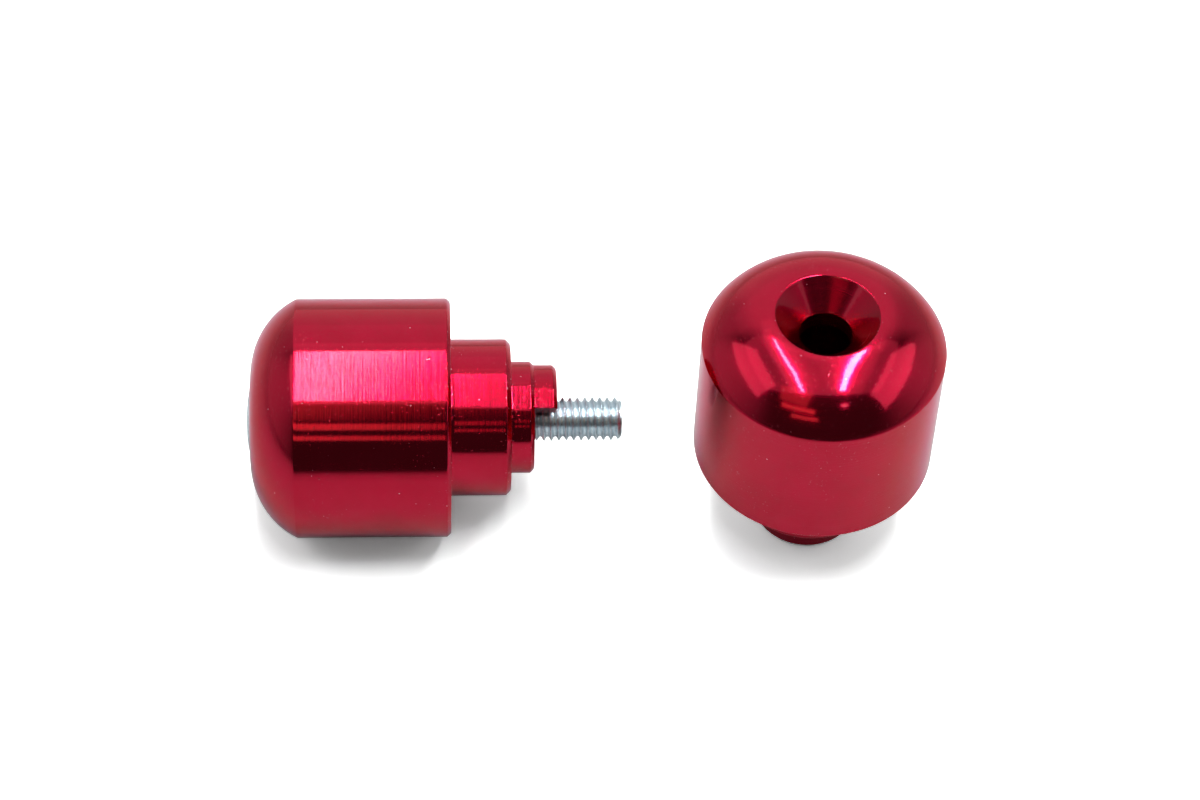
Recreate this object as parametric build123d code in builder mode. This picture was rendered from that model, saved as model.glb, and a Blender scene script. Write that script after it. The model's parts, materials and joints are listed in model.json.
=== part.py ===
from build123d import *
from math import cos, radians, sin, tan
import os

# A pair of turned aluminium bar ends. One lies on its side with its screw pushed through
# it, the other stands upright on its half-moon tang. Millimetres, +Z up. Both rest on
# Z = 0, and the origin is on that plane under the middle of the pair.

# ---- Bar end, measured along its axis from the dome's rim towards the tang ----
dome_length = 6.1
weight_length = 26.6
spigot_1_length = 8.0
spigot_2_length = 3.1
tang_length = 3.0

weight_radius = 16.0
dome_arc_radius = 11.0
spigot_1_radius = 10.5
spigot_2_radius = 7.5
tang_radius = 7.0

weight_chamfer = 0.5
spigot_1_chamfer = 0.65
spigot_2_chamfer = 0.45
tang_chamfer = 0.5

bore_radius = 3.5
countersink_rim_radius = 6.85
countersink_angle = 84.0

# ---- Screw, M6 x 1 countersunk with a hex socket ----
screw_length = 50.0
nominal_radius = 3.0
thread_radius = 2.95
thread_pitch = 1.0
thread_length = 24.0
thread_flank_angle = 30.0
thread_depth_per_pitch = 0.613
groove_outer_radius = 3.02
shank_radius = 2.9
tip_chamfer = 0.6
head_radius = 5.8
head_land_radius = 2.5
head_crown_height = 0.7
head_crown_arc_radius = 14.0
head_edge_height = 0.25
head_cone_angle = 90.0
socket_width = 4.0
socket_depth = 2.4
socket_drill_angle = 120.0

# ---- How the pair is set down ----
spacing_along_x = 75.1
spacing_along_y = 3.2
lying_tang_angle = 29.0
standing_tang_angle = -120.0
head_proud = 0.5
screw_drop = 0.45

# ---- Worked out from the sizes above ----
spigot_1_end = weight_length + spigot_1_length
spigot_2_end = spigot_1_end + spigot_2_length
bar_end_length = spigot_2_end + tang_length

lying_rim_x = -(spacing_along_x + weight_radius - head_proud) / 2
lying_axis_y = spacing_along_y / 2
standing_axis_x = lying_rim_x + spacing_along_x
standing_axis_y = -spacing_along_y / 2

# Each plane's Z axis runs from the dome to the tang, and its X axis points to the middle
# of the half-moon tang.
lying_plane = Plane(
    origin=(lying_rim_x, lying_axis_y, weight_radius),
    x_dir=(0, cos(radians(lying_tang_angle)), sin(radians(lying_tang_angle))),
    z_dir=(1, 0, 0),
)
standing_plane = Plane(
    origin=(standing_axis_x, standing_axis_y, bar_end_length),
    x_dir=(cos(radians(standing_tang_angle)), sin(radians(standing_tang_angle)), 0),
    z_dir=(0, 0, -1),
)
screw_plane = Plane(
    origin=(lying_rim_x - head_proud, lying_axis_y, weight_radius - screw_drop),
    x_dir=(0, 1, 0),
    z_dir=(1, 0, 0),
)


def turned_bar_end():
    """One bar end: the dome's rim is at the origin and the tang is towards +Z and +X."""
    steps = (
        (weight_radius, weight_length, weight_chamfer),
        (spigot_1_radius, spigot_1_end, spigot_1_chamfer),
        (spigot_2_radius, spigot_2_end, spigot_2_chamfer),
    )
    with BuildPart() as bar_end:
        # Turned outline: flat rim, dome arc, then one chamfered step after another.
        with BuildSketch(Plane.XZ):
            with BuildLine():
                Line((0, 0), (countersink_rim_radius, 0))
                RadiusArc(
                    (countersink_rim_radius, 0), (weight_radius, dome_length), -dome_arc_radius
                )
                outline = [(weight_radius, dome_length)]
                for index, (radius, end, edge) in enumerate(steps):
                    if index > 0:
                        outline.append((radius, steps[index - 1][1]))
                    outline.append((radius, end - edge))
                    outline.append((radius - edge, end))
                outline.append((0, spigot_2_end))
                Polyline(*outline)
                Line((0, spigot_2_end), (0, 0))
            make_face()
        revolve(axis=Axis.Z)

        # Half-moon tang, milled flat through the axis.
        with BuildSketch(Plane.XY.offset(spigot_2_end)):
            Circle(tang_radius)
            Rectangle(
                tang_radius, 2 * tang_radius, align=(Align.MIN, Align.CENTER), mode=Mode.INTERSECT
            )
        extrude(amount=tang_length)
        tang_end_edges = bar_end.faces().sort_by(Axis.Z)[-1].edges()
        chamfer(tang_end_edges.filter_by(GeomType.CIRCLE), tang_chamfer)

        # Through bore with the countersink that opens at the dome's rim.
        with Locations(Plane(origin=(0, 0, 0), z_dir=(0, 0, -1))):
            CounterSinkHole(
                bore_radius, countersink_rim_radius, counter_sink_angle=countersink_angle
            )
    return bar_end.part


with BuildPart() as lying_bar_end:
    add(turned_bar_end().moved(lying_plane.location))
lying_bar_end.part.label = "lying_bar_end"

with BuildPart() as standing_bar_end:
    add(turned_bar_end().moved(standing_plane.location))
standing_bar_end.part.label = "standing_bar_end"


# ---- Screw, made along +Z with the middle of its head at the origin ----
head_cone_length = (head_radius - shank_radius) / tan(radians(head_cone_angle / 2))
head_height = head_crown_height + head_edge_height + head_cone_length
thread_start = screw_length - thread_length
groove_start = thread_start + thread_pitch
groove_root_radius = nominal_radius - thread_depth_per_pitch * thread_pitch
groove_root_half_width = thread_pitch / 8
groove_outer_half_width = groove_root_half_width + (
    (groove_outer_radius - groove_root_radius) * tan(radians(thread_flank_angle))
)

with BuildPart() as made_screw:
    # Turned outline: flat land, crowned edge, cone, plain shank and thread blank.
    with BuildSketch(Plane.XZ):
        with BuildLine():
            Line((0, 0), (head_land_radius, 0))
            RadiusArc(
                (head_land_radius, 0), (head_radius, head_crown_height), -head_crown_arc_radius
            )
            Polyline(
                (head_radius, head_crown_height),
                (head_radius, head_crown_height + head_edge_height),
                (shank_radius, head_height),
                (shank_radius, thread_start),
                (thread_radius, thread_start),
                (thread_radius, screw_length - tip_chamfer),
                (thread_radius - tip_chamfer, screw_length),
                (0, screw_length),
                (0, 0),
            )
        make_face()
    revolve(axis=Axis.Z)

    # Hex socket, with the cone that its drill leaves.
    drill_cone_length = socket_width / 2 / tan(radians(socket_drill_angle / 2))
    with BuildSketch(Plane.XY):
        RegularPolygon(socket_width / 2, 6, major_radius=False)
    extrude(amount=socket_depth, mode=Mode.SUBTRACT)
    with Locations((0, 0, socket_depth + drill_cone_length / 2)):
        Cone(socket_width / 2, 0, drill_cone_length, mode=Mode.SUBTRACT)

    # Thread groove, cut along a right-hand helix that runs out past the tip.
    with BuildLine():
        Helix(thread_pitch, thread_length, groove_root_radius, center=(0, 0, groove_start))
    with BuildSketch(Plane.XZ):
        with BuildLine():
            Polyline(
                (groove_root_radius, groove_start - groove_root_half_width),
                (groove_outer_radius, groove_start - groove_outer_half_width),
                (groove_outer_radius, groove_start + groove_outer_half_width),
                (groove_root_radius, groove_start + groove_root_half_width),
                close=True,
            )
        make_face()
    sweep(is_frenet=True, mode=Mode.SUBTRACT)

with BuildPart() as countersunk_screw:
    add(made_screw.part.moved(screw_plane.location))
countersunk_screw.part.label = "countersunk_screw"

os.makedirs("parts", exist_ok=True)
export_step(lying_bar_end.part, "parts/lying_bar_end.step")
export_step(standing_bar_end.part, "parts/standing_bar_end.step")
export_step(countersunk_screw.part, "parts/countersunk_screw.step")
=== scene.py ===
import json
from math import atan2, cos, hypot, pi, radians, sin, sqrt, tan

import bmesh
import bpy
from mathutils import Matrix, Vector


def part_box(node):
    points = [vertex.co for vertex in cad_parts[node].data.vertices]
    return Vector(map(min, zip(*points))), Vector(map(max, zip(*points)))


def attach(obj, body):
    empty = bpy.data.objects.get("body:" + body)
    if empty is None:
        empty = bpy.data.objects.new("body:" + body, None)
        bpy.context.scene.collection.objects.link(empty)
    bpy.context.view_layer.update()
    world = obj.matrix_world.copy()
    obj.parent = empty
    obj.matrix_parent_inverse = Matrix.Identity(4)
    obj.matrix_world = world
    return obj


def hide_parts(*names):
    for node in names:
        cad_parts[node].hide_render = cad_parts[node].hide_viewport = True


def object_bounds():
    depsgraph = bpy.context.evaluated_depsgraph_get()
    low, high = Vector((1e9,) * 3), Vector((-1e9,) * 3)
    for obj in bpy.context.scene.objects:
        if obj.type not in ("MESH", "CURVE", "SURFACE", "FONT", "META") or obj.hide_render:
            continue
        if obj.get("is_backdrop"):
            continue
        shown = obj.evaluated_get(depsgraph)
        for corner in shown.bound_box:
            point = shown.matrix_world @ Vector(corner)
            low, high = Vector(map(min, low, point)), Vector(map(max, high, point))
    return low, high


# A pair of red anodised bar end weights and their zinc-plated screw. Finer meshes of the same
# sizes stand for the three CAD nodes, with rounded edges and a helical thread. Each mesh is
# drawn in millimetres along its own axis, and is then set down in the row frame in metres.

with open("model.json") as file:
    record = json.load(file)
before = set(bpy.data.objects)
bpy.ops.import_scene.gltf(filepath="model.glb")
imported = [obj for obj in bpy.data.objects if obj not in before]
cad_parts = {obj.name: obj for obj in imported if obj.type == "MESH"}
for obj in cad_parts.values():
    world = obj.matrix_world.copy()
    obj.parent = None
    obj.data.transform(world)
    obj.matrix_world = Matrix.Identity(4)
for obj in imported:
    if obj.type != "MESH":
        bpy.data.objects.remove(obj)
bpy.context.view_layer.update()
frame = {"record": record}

lying_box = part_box("lying_bar_end")
standing_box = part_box("standing_bar_end")
screw_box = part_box("countersunk_screw")

MM = 0.001

# ---- Bar end, along its axis from the dome's rim (millimetres, degrees) ----
dome_length = 6.1
dome_arc_radius = 11.0
weight_length = 26.6
spigot_1_length = 8.0
spigot_2_length = 3.1
weight_chamfer = 0.5
spigot_1_chamfer = 0.65
tang_radius = 7.0
tang_chamfer = 0.5
countersink_rim_radius = 6.85
countersink_angle = 84.0

# ---- Screw, M6 x 1 (millimetres, degrees) ----
thread_radius = 2.95
thread_pitch = 1.0
thread_length = 24.0
groove_depth = 0.56
shank_radius = 2.9
tip_chamfer = 0.6
head_land_radius = 2.5
head_crown_height = 0.7
head_crown_arc_radius = 14.0
head_edge_height = 0.25
head_cone_angle = 90.0
socket_width = 4.0
socket_depth = 2.4
socket_drill_angle = 120.0

# ---- Thread groove (pitches) ----
thread_run_out = 1.5
groove_root_half_width = 0.125
groove_half_width = 0.45

# ---- Mesh fineness (columns around an axis, millimetres, degrees) ----
bar_end_columns = 256
screw_columns = 96
arc_step = 2.0
edge_round = 0.07
round_segments = 3
guard_distance = 0.4
sharp_angle = 18.0
merge_distance = 0.0005
degenerate_length = 0.0002
flat_tolerance = 0.001
head_margin = 0.1


# ======================= Outlines =======================
def arc(start, end, radius):
    """Points after start and up to end on the outward-bulging arc that joins them."""
    chord = Vector((end[0] - start[0], end[1] - start[1]))
    middle = Vector(((start[0] + end[0]) / 2, (start[1] + end[1]) / 2))
    normal = Vector((chord.y, -chord.x)).normalized()
    centre = middle - normal * sqrt(radius**2 - (chord.length / 2) ** 2)
    first = atan2(start[1] - centre.y, start[0] - centre.x)
    last = atan2(end[1] - centre.y, end[0] - centre.x)
    steps = max(2, round(abs(last - first) / radians(arc_step)))
    angles = [first + (last - first) * step / steps for step in range(1, steps + 1)]
    return [(centre.x + radius * cos(a), centre.y + radius * sin(a)) for a in angles]


def with_guards(points):
    """The same outline with a point near each end of a long run, so that edge wear stays there."""
    made = [points[0]]
    for before, after in zip(points, points[1:]):
        length = hypot(after[0] - before[0], after[1] - before[1])
        shares = (guard_distance / length, 1 - guard_distance / length)
        if length > 3 * guard_distance:
            for share in shares:
                made.append(
                    (
                        before[0] + (after[0] - before[0]) * share,
                        before[1] + (after[1] - before[1]) * share,
                    )
                )
        made.append(after)
    return made


# ======================= Mesh building =======================
def add_grid(mesh, columns, turn_shift=None, closed_outline=False):
    """Adds a skin through columns of points around an axis. Each column is (radius, z, angle)."""
    rows = [
        [mesh.verts.new((r * cos(a), r * sin(a), z)) for r, z, a in column] for column in columns
    ]
    count = len(columns[0])
    for index, column in enumerate(rows):
        last = index == len(rows) - 1
        beside = rows[(index + 1) % len(rows)]
        shift = turn_shift if last and turn_shift else 0
        for row in range(count if closed_outline else count - 1):
            after = (row + 1) % count
            if max(row, after) + shift >= count:
                continue
            corners = (column[row], beside[row + shift], beside[after + shift], column[after])
            mesh.faces.new(corners)
    return rows


def round_sharp_edges(mesh, size, keep=lambda edge: True):
    """Rounds every edge where the surface turns sharply, as a deburred edge is."""
    edges = [
        edge
        for edge in mesh.edges
        if len(edge.link_faces) == 2
        and edge.calc_face_angle(0) > radians(sharp_angle)
        and keep(edge)
    ]
    bmesh.ops.bevel(
        mesh,
        geom=edges,
        offset=size,
        offset_type="OFFSET",
        segments=round_segments,
        profile=0.5,
        affect="EDGES",
        clamp_overlap=True,
    )


def finish_mesh(name, mesh, place, material, body, node):
    """Turns a drawn mesh into a piece that rides on its body and stands for its CAD node."""
    bmesh.ops.remove_doubles(mesh, verts=mesh.verts, dist=merge_distance)
    bmesh.ops.dissolve_degenerate(mesh, edges=mesh.edges, dist=degenerate_length)
    bmesh.ops.recalc_face_normals(mesh, faces=mesh.faces)
    own_place = mesh.verts.layers.float_vector.new("own_place")
    around = mesh.verts.layers.float_vector.new("around")
    wear = mesh.verts.layers.float.new("edge_wear")
    for vert in mesh.verts:
        vert[own_place] = vert.co
        vert[around] = place.to_3x3() @ Vector((-vert.co.y, vert.co.x, 0.0)).normalized()
        turns = [edge.calc_face_angle(0) for edge in vert.link_edges if len(edge.link_faces) == 2]
        vert[wear] = 1.0 if turns and max(turns) > radians(sharp_angle / 2) else 0.0
    for face in mesh.faces:
        face.smooth = True
    mesh.transform(place @ Matrix.Scale(MM, 4))
    data = bpy.data.meshes.new(name)
    mesh.to_mesh(data)
    mesh.free()
    data.materials.append(material)
    piece = bpy.data.objects.new(name, data)
    bpy.context.scene.collection.objects.link(piece)
    even_shading = piece.modifiers.new("even_shading", "WEIGHTED_NORMAL")
    even_shading.keep_sharp = False
    even_shading.weight = 50
    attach(piece, body)
    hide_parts(node)
    return piece


def place_of(origin, z_axis, x_axis):
    """The matrix that takes a piece's own axes to the row frame. The origin is in metres."""
    z, x = Vector(z_axis).normalized(), Vector(x_axis).normalized()
    y = z.cross(x)
    turn = Matrix((x, y, z)).transposed().to_4x4()
    return Matrix.Translation(origin) @ turn


def mount_named(name):
    return next(mount for mount in frame["record"]["mounts"] if mount["name"] == name)


# ======================= Bar ends =======================
def bar_end_outline():
    """Closed outline of the bar end through the middle of its tang, as (radius, z)."""
    bore = mount_named("standing_bore")["dims"]["r_mm"]
    spigot_1 = mount_named("standing_spigot_1")["dims"]["r_mm"]
    spigot_2 = mount_named("standing_spigot_2")["dims"]["r_mm"]
    low, high = standing_box
    weight = (high.x - low.x) / 2 / MM
    length = (high.z - low.z) / MM
    spigot_1_end = weight_length + spigot_1_length
    spigot_2_end = spigot_1_end + spigot_2_length
    spigot_2_chamfer = spigot_2 - tang_radius
    cone_end = (countersink_rim_radius - bore) / tan(radians(countersink_angle / 2))
    outline = [(bore, cone_end), (countersink_rim_radius, 0)]
    outline += arc((countersink_rim_radius, 0), (weight, dome_length), dome_arc_radius)
    outline += [
        (weight, weight_length - weight_chamfer),
        (weight - weight_chamfer, weight_length),
        (spigot_1, weight_length),
        (spigot_1, spigot_1_end - spigot_1_chamfer),
        (spigot_1 - spigot_1_chamfer, spigot_1_end),
        (spigot_2, spigot_1_end),
        (spigot_2, spigot_2_end - spigot_2_chamfer),
        (tang_radius, spigot_2_end),
        (tang_radius, length - tang_chamfer),
        (tang_radius - tang_chamfer, length),
        (bore, length),
        (bore, spigot_2_end),
        (bore, cone_end),
    ]
    return with_guards(outline)[:-1], spigot_2_end


def bar_end_mesh():
    outline, spigot_2_end = bar_end_outline()
    mesh = bmesh.new()
    quarter = bar_end_columns // 4
    step = 2 * pi / bar_end_columns
    tang_angles = [step * index for index in range(-quarter, quarter + 1)]
    other_angles = [step * index for index in range(quarter, 3 * quarter + 1)]
    columns = [[(r, z, angle) for r, z in outline] for angle in tang_angles]
    columns += [[(r, min(z, spigot_2_end), angle) for r, z in outline] for angle in other_angles]
    add_grid(mesh, columns, closed_outline=True)
    bmesh.ops.remove_doubles(mesh, verts=mesh.verts, dist=merge_distance)
    bmesh.ops.dissolve_degenerate(mesh, edges=mesh.edges, dist=merge_distance)
    join_flat_faces(mesh, spigot_2_end)
    round_sharp_edges(mesh, edge_round)
    return mesh


def join_flat_faces(mesh, spigot_2_end):
    """Makes each of the tang's two milled faces one plain flat face."""
    lowest = spigot_2_end - flat_tolerance
    milled = [
        face
        for face in mesh.faces
        if all(abs(vert.co.x) < flat_tolerance and vert.co.z > lowest for vert in face.verts)
    ]
    bmesh.ops.dissolve_faces(mesh, faces=milled, use_verts=False)


def make_bar_end(node, body, place, material):
    return finish_mesh(
        node + "_turned", bar_end_mesh(), place, material, body, node
    )


# ======================= Screw =======================
def socket_radius(angle):
    """Distance from the screw's axis to the wall of its hexagon socket."""
    flat = radians(60)
    return socket_width / 2 / cos(angle % flat - flat / 2)


def head_outline(angle, thread_start):
    """From the bottom of the socket round the head and down the shank, as (radius, z)."""
    drill_end = socket_depth + socket_width / 2 / tan(radians(socket_drill_angle / 2))
    head_radius = (screw_box[1].z - screw_box[0].z) / 2 / MM
    cone_start = head_crown_height + head_edge_height
    cone_length = (head_radius - shank_radius) / tan(radians(head_cone_angle / 2))
    wall = socket_radius(angle)
    outline = [(0, drill_end), (socket_width / 2, socket_depth), (wall, socket_depth), (wall, 0)]
    outline += [(head_land_radius, 0)]
    outline += arc((head_land_radius, 0), (head_radius, head_crown_height), head_crown_arc_radius)
    outline += [
        (head_radius, cone_start),
        (shank_radius, cone_start + cone_length),
        (shank_radius, thread_start),
        (thread_radius, thread_start),
    ]
    return outline


def thread_radius_at(turn, z, thread_start, length):
    """Radius of the threaded end. turn is the place across one pitch, 0.5 at the groove's root."""
    slope = (groove_half_width - abs(turn - 0.5)) / (groove_half_width - groove_root_half_width)
    fade = min(1, max(0, (z - thread_start) / (thread_run_out * thread_pitch)))
    radius = thread_radius - groove_depth * min(1, max(0, slope)) * fade
    return min(radius, thread_radius - max(0, z - (length - tip_chamfer)))


def thread_columns(angles, thread_start, length):
    """Columns whose points follow the helix from one pitch to the next."""
    turns = (0.0, 0.05, 0.16, 0.27, 0.36, 0.42, 0.5, 0.58, 0.64, 0.73, 0.84, 0.95)
    columns = []
    for angle in angles:
        along = angle / (2 * pi)
        column = []
        for pitch in range(-2, round(thread_length / thread_pitch) + 2):
            for turn in turns:
                z = thread_start + (pitch + turn + along) * thread_pitch
                held = min(length, max(thread_start, z))
                own_turn = ((held - thread_start) / thread_pitch - along) % 1
                column.append((thread_radius_at(own_turn, held, thread_start, length), held, angle))
        columns.append(column)
    return columns, len(turns)


def screw_mesh():
    length = (screw_box[1].x - screw_box[0].x) / MM
    thread_start = length - thread_length
    angles = [2 * pi * index / screw_columns for index in range(screw_columns)]
    mesh = bmesh.new()
    add_grid(mesh, [[(r, z, a) for r, z in head_outline(a, thread_start)] for a in angles])
    columns, shift = thread_columns(angles, thread_start, length)
    add_grid(mesh, columns, turn_shift=shift)
    tip = thread_radius - tip_chamfer
    add_grid(mesh, [[(tip, length, angle), (0, length, angle)] for angle in angles])
    bmesh.ops.remove_doubles(mesh, verts=mesh.verts, dist=merge_distance)
    bmesh.ops.dissolve_degenerate(mesh, edges=mesh.edges, dist=merge_distance)
    head_end = head_crown_height + head_edge_height + head_margin
    round_sharp_edges(mesh, edge_round, lambda edge: edge.verts[0].co.z < head_end)
    return mesh


# ======================= Materials =======================
class Nodes:
    """Short calls for making and joining shader nodes."""

    def __init__(self, name):
        self.material = bpy.data.materials.new(name)
        self.material.use_nodes = True
        self.tree = self.material.node_tree
        self.shader = self.tree.nodes["Principled BSDF"]

    def make(self, kind, inputs=(), **settings):
        node = self.tree.nodes.new(kind)
        for key, value in settings.items():
            setattr(node, key, value)
        for key, value in dict(inputs).items():
            self.set(node.inputs[key], value)
        return node

    def set(self, socket, value):
        if isinstance(value, bpy.types.NodeSocket):
            self.tree.links.new(value, socket)
        else:
            socket.default_value = value

    def math(self, operation, *values):
        node = self.make("ShaderNodeMath", operation=operation)
        for socket, value in zip(node.inputs, values):
            self.set(socket, value)
        return node.outputs[0]

    def attribute(self, name, output):
        return self.make("ShaderNodeAttribute", attribute_name=name).outputs[output]

    def noise(self, vector, scale, detail=2.0, roughness=0.5):
        inputs = {"Vector": vector, "Scale": scale, "Detail": detail, "Roughness": roughness}
        return self.make("ShaderNodeTexNoise", inputs).outputs["Fac"]

    def ramp(self, value, low, high, to_low=0.0, to_high=1.0):
        inputs = {
            "Value": value,
            "From Min": low,
            "From Max": high,
            "To Min": to_low,
            "To Max": to_high,
        }
        return self.make("ShaderNodeMapRange", inputs).outputs["Result"]

    def mix(self, share, first, second):
        node = self.make("ShaderNodeMix", data_type="RGBA")
        self.set(node.inputs[0], share)
        self.set(node.inputs[6], first)
        self.set(node.inputs[7], second)
        return node.outputs[2]


def turned_place(nodes):
    """Distance from the piece's own axis, place along it, and a value that varies round it."""
    split = nodes.make("ShaderNodeSeparateXYZ", {"Vector": nodes.attribute("own_place", "Vector")})
    x, y, z = split.outputs
    squares = nodes.math("ADD", nodes.math("MULTIPLY", x, x), nodes.math("MULTIPLY", y, y))
    return nodes.math("SQRT", squares), z, nodes.math("ADD", x, y)


def turning_lines(nodes, lines_per_mm):
    """Fine lines round the axis, as a lathe tool leaves. They fade in and out along their way."""
    radius, z, around = turned_place(nodes)
    across = nodes.make(
        "ShaderNodeCombineXYZ",
        {
            "X": nodes.math("MULTIPLY", radius, lines_per_mm),
            "Y": nodes.math("MULTIPLY", z, lines_per_mm),
            "Z": nodes.math("MULTIPLY", around, 0.05),
        },
    )
    return nodes.noise(across.outputs[0], 1.0, detail=4.0, roughness=0.65)


def red_anodised():
    """Clear glossy oxide over dyed metal. The turning lines spread light mostly along the axis."""
    nodes = Nodes("red_anodised_aluminium")
    place = nodes.attribute("own_place", "Vector")
    wear = nodes.attribute("edge_wear", "Fac")
    radius, z, _ = turned_place(nodes)
    lines = turning_lines(nodes, 3.5)

    # Dye, a little uneven, with bare chips along the edges and a few pin-sized specks.
    dark, light = (0.45, 0.0012, 0.026, 1), (0.50, 0.0016, 0.032, 1)
    colour = nodes.mix(nodes.ramp(nodes.noise(place, 0.22, 3.0), 0.3, 0.7), dark, light)
    edge_chips = nodes.math("MULTIPLY", nodes.ramp(nodes.noise(place, 3.5), 0.68, 0.74), wear)
    specks = nodes.ramp(nodes.noise(place, 2.4, 1.0), 0.80, 0.82)
    scuffed = nodes.ramp(nodes.noise(place, 0.12, 1.0), 0.42, 0.62, 0, 1)
    pits = nodes.math("MULTIPLY", nodes.ramp(nodes.noise(place, 2.8, 3.0), 0.66, 0.72), scuffed)
    bare = nodes.math("MAXIMUM", nodes.math("MULTIPLY", edge_chips, 0.7), specks)
    bare = nodes.math("MAXIMUM", nodes.math("MULTIPLY", pits, 0.10), bare)
    colour = nodes.mix(bare, colour, (0.90, 0.62, 0.66, 1))
    # Light bounced on to the floor is grey, so that the shadows stay neutral.
    bounced = nodes.make("ShaderNodeLightPath").outputs["Is Diffuse Ray"]
    colour = nodes.mix(bounced, colour, (0.10, 0.08, 0.08, 1))

    # The dome shows fainter turning lines than the straight cuts. Its countersink is duller. The
    # countersink and the bore also get painted shade: their colour is darkened towards black.
    on_dome = nodes.ramp(z, dome_length - 0.05, dome_length, 1, 0)
    streaks = nodes.ramp(lines, 0.3, 0.7, -0.03, 0.03)
    in_hole = nodes.ramp(radius, countersink_rim_radius - 0.1, countersink_rim_radius, 1, 0)
    in_cone = nodes.math("MULTIPLY", in_hole, on_dome)
    bore = mount_named("standing_bore")["dims"]["r_mm"]
    in_bore = nodes.ramp(radius, bore + 0.05, bore + 0.15, 1, 0)
    # Painted shade in the hole: the countersink's and the bore's colour is mixed towards near
    # black.
    hole_painted_shade = nodes.math("MULTIPLY", nodes.math("MAXIMUM", in_cone, in_bore), 0.4)
    colour = nodes.mix(hole_painted_shade, colour, (0.05, 0.0002, 0.004, 1))
    rough = nodes.math("ADD", nodes.ramp(on_dome, 0, 1, 0.115, 0.125), streaks)
    rough = nodes.math("ADD", rough, nodes.math("MULTIPLY", in_cone, 0.12))
    rough = nodes.math("MAXIMUM", rough, nodes.math("MULTIPLY", bare, 0.5))
    around_axis = nodes.make(
        "ShaderNodeVectorTransform",
        {"Vector": nodes.attribute("around", "Vector")},
        vector_type="VECTOR",
        convert_from="OBJECT",
        convert_to="WORLD",
    )
    wave_depth = nodes.math("MULTIPLY", on_dome, 0.9)
    waves = nodes.math("MULTIPLY", nodes.noise(place, 0.35, 2.0), wave_depth)
    dents = nodes.math("MULTIPLY", nodes.noise(place, 2.2, 3.0), wear)
    depth = nodes.ramp(on_dome, 0, 1, 0.8, 0.25)
    less_on_dome = nodes.ramp(on_dome, 0, 1, 0.7, 0.2)
    shallow_pits = nodes.math("MULTIPLY", pits, less_on_dome)
    height = nodes.math("ADD", nodes.math("MULTIPLY", lines, depth), shallow_pits)
    height = nodes.math("ADD", height, waves)
    height = nodes.math("ADD", height, dents)
    relief = 0.03 * MM
    bump = nodes.make("ShaderNodeBump", {"Strength": 0.6, "Distance": relief, "Height": height})
    scuffs = nodes.math("ADD", height, pits)
    coat = nodes.make("ShaderNodeBump", {"Strength": 0.4, "Distance": relief, "Height": scuffs})
    settings = {
        "Base Color": colour,
        "Metallic": 1.0,
        "Roughness": rough,
        "Anisotropic": nodes.ramp(on_dome, 0, 1, 0.8, 0.4),
        "Specular Tint": (1.0, 0.25, 0.46, 1),
        "Anisotropic Rotation": 0.25,
        "Tangent": around_axis.outputs[0],
        "Coat Weight": 1.0,
        "Coat Roughness": nodes.ramp(on_dome, 0, 1, 0.06, 0.04),
        "Coat IOR": 1.25,
        "Coat Normal": coat.outputs["Normal"],
        "Normal": bump.outputs["Normal"],
    }
    for name, value in settings.items():
        nodes.set(nodes.shader.inputs[name], value)
    return nodes.material


def zinc_plated():
    nodes = Nodes("zinc_plated_steel")
    place = nodes.attribute("own_place", "Vector")
    clouds = nodes.noise(place, 0.9, detail=4.0, roughness=0.6)
    grain = nodes.noise(place, 12.0, detail=3.0)
    colour = nodes.mix(nodes.ramp(clouds, 0.3, 0.7), (0.50, 0.60, 0.66, 1), (0.68, 0.79, 0.84, 1))
    nodes.set(nodes.shader.inputs["Base Color"], colour)
    nodes.set(nodes.shader.inputs["Metallic"], 1.0)
    nodes.set(nodes.shader.inputs["Roughness"], nodes.ramp(grain, 0.3, 0.7, 0.22, 0.34))
    relief = 0.01 * MM
    bump = nodes.make("ShaderNodeBump", {"Strength": 0.12, "Distance": relief, "Height": grain})
    nodes.set(nodes.shader.inputs["Normal"], bump.outputs["Normal"])
    return nodes.material


# ======================= The pieces =======================
red = red_anodised()
zinc = zinc_plated()

low, high = lying_box
lying_axis = Vector((low.x, (low.y + high.y) / 2, (low.z + high.z) / 2))
tang = Vector(mount_named("lying_tang")["pos_m"]) - lying_axis
make_bar_end(
    "lying_bar_end", "lying_bar_end", place_of(lying_axis, (1, 0, 0), (0, tang.y, tang.z)), red
)

low, high = standing_box
standing_axis = Vector(((low.x + high.x) / 2, (low.y + high.y) / 2, high.z))
tang = Vector(mount_named("standing_tang")["pos_m"]) - standing_axis
make_bar_end(
    "standing_bar_end",
    "standing_bar_end",
    place_of(standing_axis, (0, 0, -1), (tang.x, tang.y, 0)),
    red,
)

low, high = screw_box
screw_axis = Vector((low.x, (low.y + high.y) / 2, (low.z + high.z) / 2))
finish_mesh(
    "countersunk_screw_threaded",
    screw_mesh(),
    place_of(screw_axis, (1, 0, 0), (0, 1, 0)),
    zinc,
    "screw",
    "countersunk_screw",
)


# ======================= Floor, light and camera =======================
scene = bpy.context.scene
scene.view_settings.view_transform = "Standard"

# The pair lies in a small light tent: two bright strips along its roof, a lit wall on each
# side, a white sweep behind and a dark opening in front. Places and sizes are in metres.
floor_seen = 1.85
floor_reflected = 0.52
sweep_radiance = 0.76
side_radiance = 0.52
opening_radiance = 0.06
sweep_edge_share = 0.55
far_radiance = 0.35
soft_layers = 6


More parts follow.
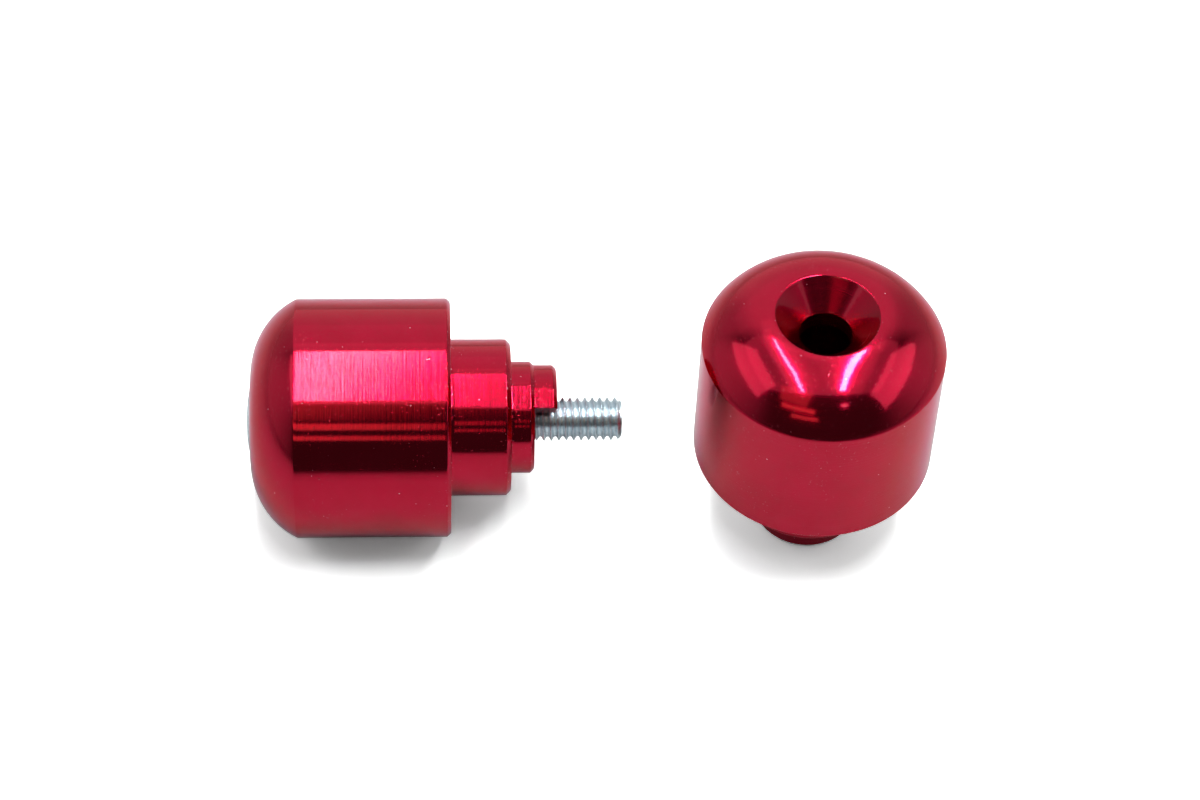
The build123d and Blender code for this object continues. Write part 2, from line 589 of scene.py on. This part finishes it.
def make_floor():
    """White floor. It is dimmer in reflections, and turns into the lit sweep further away."""
    half = 3.0
    data = bpy.data.meshes.new("floor")
    corners = [(-half, -half, 0), (half, -half, 0), (half, half, 0), (-half, half, 0)]
    data.from_pydata(corners, [], [(0, 1, 2, 3)])
    floor = bpy.data.objects.new("floor", data)
    scene.collection.objects.link(floor)
    nodes = Nodes("white_floor")
    tree = nodes.tree
    seen = nodes.make("ShaderNodeLightPath").outputs["Is Camera Ray"]
    shade = nodes.ramp(seen, 0, 1, floor_reflected, floor_seen)
    white = nodes.make("ShaderNodeBsdfDiffuse", {"Color": shade})
    place = nodes.make("ShaderNodeNewGeometry").outputs["Position"]
    distance = nodes.make("ShaderNodeVectorMath", {0: place}, operation="LENGTH").outputs["Value"]
    depth = nodes.make("ShaderNodeSeparateXYZ", {"Vector": place}).outputs["Y"]
    behind = nodes.math("MAXIMUM", nodes.ramp(depth, -0.3, 0.1), seen)
    far = nodes.math("MULTIPLY", nodes.ramp(distance, 0.15, 0.6), behind)
    far = nodes.math("MULTIPLY", far, nodes.ramp(seen, 0, 1, far_radiance, 1.0))
    lit = nodes.make("ShaderNodeEmission", {"Strength": far})
    both = nodes.make("ShaderNodeAddShader", {0: white.outputs[0], 1: lit.outputs[0]})
    tree.links.new(both.outputs[0], tree.nodes["Material Output"].inputs["Surface"])
    data.materials.append(nodes.material)
    floor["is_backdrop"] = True


def softbox(name, centre, aim, size, radiance, soft=0.0, tint=(1, 1, 1), turn=0, mirrored=True):
    """A rectangular light that faces aim. Its edges fade over the share soft of its size.

    turn is in degrees about the light's own axis. With mirrored off, it shows in no reflection.
    """
    layers = soft_layers if soft else 1
    for layer in range(layers):
        share = 1 + soft * (2 * layer / max(1, layers - 1) - 1)
        data = bpy.data.lights.new(f"{name}_{layer}", "AREA")
        data.shape = "RECTANGLE"
        data.size, data.size_y = size[0] * share, size[1] * share
        data.energy = radiance / layers * pi * data.size * data.size_y
        data.color = tint
        light = bpy.data.objects.new(data.name, data)
        light.location = centre
        facing = Vector(aim) - Vector(centre)
        facing = facing.to_track_quat("-Z", "Y").to_matrix()
        facing = facing @ Matrix.Rotation(radians(turn), 3, "Z")
        light.rotation_euler = facing.to_euler()
        # Tinted lights are only seen in reflections, and leave the floor white.
        light.visible_diffuse = min(tint) == 1
        light.visible_glossy = mirrored
        scene.collection.objects.link(light)


def light_tent():
    """Two bright strips overhead, dimmer light round them, and panels at the sides and front."""
    roof = 0.34
    left, right, back = -0.048, 0.102, 0.055
    softbox("left_strip", (left, 0.016, roof), (left, 0.016, 0), (0.013, 0.30), 30.0, turn=-3)
    softbox("right_strip", (right, 0.028, roof), (right, 0.028, 0), (0.018, 0.286), 50.0, turn=-2)
    softbox("left_skirt", (left, 0.04, roof), (left, 0.04, 0), (0.06, 0.25), 1.2, 0.6, turn=-3)
    for name, x in (("left_halo", left), ("right_halo", right)):
        softbox(name, (x, back, roof + 0.005), (x, back, 0), (0.09, 0.21), 0.7, 0.45)
    softbox("roof_panel", (0.04, 0.015, roof + 0.01), (0.04, 0.015, 0), (0.30, 0.34), 0.25)
    softbox("roof_filler", (0.0, 0.015, roof + 0.02), (0.0, 0.015, 0), (0.62, 0.35), 0.42)
    softbox("back_glow", (-0.02, 0.24, 0.30), (-0.01, 0.0, 0.03), (0.30, 0.16), 0.45, 0.7)
    softbox("left_wall", (-0.30, 0.008, 0.365), (0.0, 0.008, 0.365), (0.20, 0.18), 5.8, 0.7)
    softbox("right_wall", (0.30, -0.035, 0.30), (0.0, -0.035, 0.30), (0.20, 0.14), 6.2, 0.7)
    # Light let in through the front opening. It softens the shadows and has no mirror image.
    softbox("front_fill", (0, -0.5, 0.30), (0, 0, 0), (0.5, 0.3), 0.8, mirrored=False)
    warm = (1.0, 0.65, 0.42)
    near = (-0.03, -0.01, 0.027)
    softbox("front_bar_high", (-0.11, -0.27, 0.288), near, (0.18, 0.04), 1.3, tint=warm)
    softbox("front_bar_low", (-0.11, -0.40, 0.28), near, (0.18, 0.035), 1.2, tint=warm)
    softbox("front_glow", (-0.098, -0.17, 0.32), near, (0.105, 0.09), 3.6, 0.3, tint=warm)
    softbox("small_glow", (0.12, -0.24, 0.32), near, (0.03, 0.03), 3.0)


def make_world():
    """The tent's walls by direction, and plain white where the camera looks past the floor."""
    world = bpy.data.worlds.new("studio")
    scene.world = world
    world.use_nodes = True
    tree = world.node_tree

    def make(kind, operation=None):
        node = tree.nodes.new(kind)
        if operation:
            node.operation = operation
        return node

    def ramp(value, low, high, most):
        node = make("ShaderNodeMapRange")
        node.interpolation_type = "SMOOTHSTEP"
        tree.links.new(value, node.inputs["Value"])
        node.inputs["From Min"].default_value = low
        node.inputs["From Max"].default_value = high
        node.inputs["To Max"].default_value = most
        return node.outputs["Result"]

    def join(operation, first, second):
        node = make("ShaderNodeMath", operation)
        for socket, value in zip(node.inputs, (first, second)):
            if isinstance(value, float):
                socket.default_value = value
            else:
                tree.links.new(value, socket)
        return node.outputs[0]

    split = make("ShaderNodeSeparateXYZ")
    tree.links.new(make("ShaderNodeTexCoord").outputs["Generated"], split.inputs[0])
    sweep = ramp(split.outputs["Y"], 0.4, 0.6, sweep_radiance)
    sides = ramp(join("ABSOLUTE", split.outputs["X"], 0.0), 0.6, 0.9, side_radiance)
    sides = join("MULTIPLY", sides, ramp(split.outputs["Y"], -0.9, 0.2, 1.0))
    middle = ramp(join("ABSOLUTE", split.outputs["X"], 0.0), 0.65, 0.3, 1 - sweep_edge_share)
    sweep = join("MULTIPLY", sweep, join("ADD", middle, sweep_edge_share))
    tent = join("ADD", join("MAXIMUM", sweep, sides), opening_radiance)
    seen = make("ShaderNodeLightPath").outputs["Is Camera Ray"]
    strength = join("MAXIMUM", tent, seen)
    tree.links.new(strength, tree.nodes["Background"].inputs["Strength"])
    tree.nodes["Background"].inputs["Color"].default_value = (1, 1, 1, 1)


def make_camera():
    target = Vector((0.00142, 0.00447, 0.016))
    distance = 0.4898
    elevation, azimuth, roll = radians(51.11), radians(4.25), radians(3.0)
    ahead = Vector((sin(azimuth) * cos(elevation), cos(azimuth) * cos(elevation), -sin(elevation)))
    data = bpy.data.cameras.new("camera")
    data.sensor_width = 36.0
    data.lens = 109.1
    camera = bpy.data.objects.new("camera", data)
    camera.location = target - ahead * distance
    level = ahead.to_track_quat("-Z", "Y").to_matrix().to_4x4()
    turn = Matrix.Rotation(roll, 4, "Z")
    camera.rotation_euler = (level @ turn).to_euler()
    scene.collection.objects.link(camera)
    scene.camera = camera


make_floor()
light_tent()
make_world()
make_camera()

low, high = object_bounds()
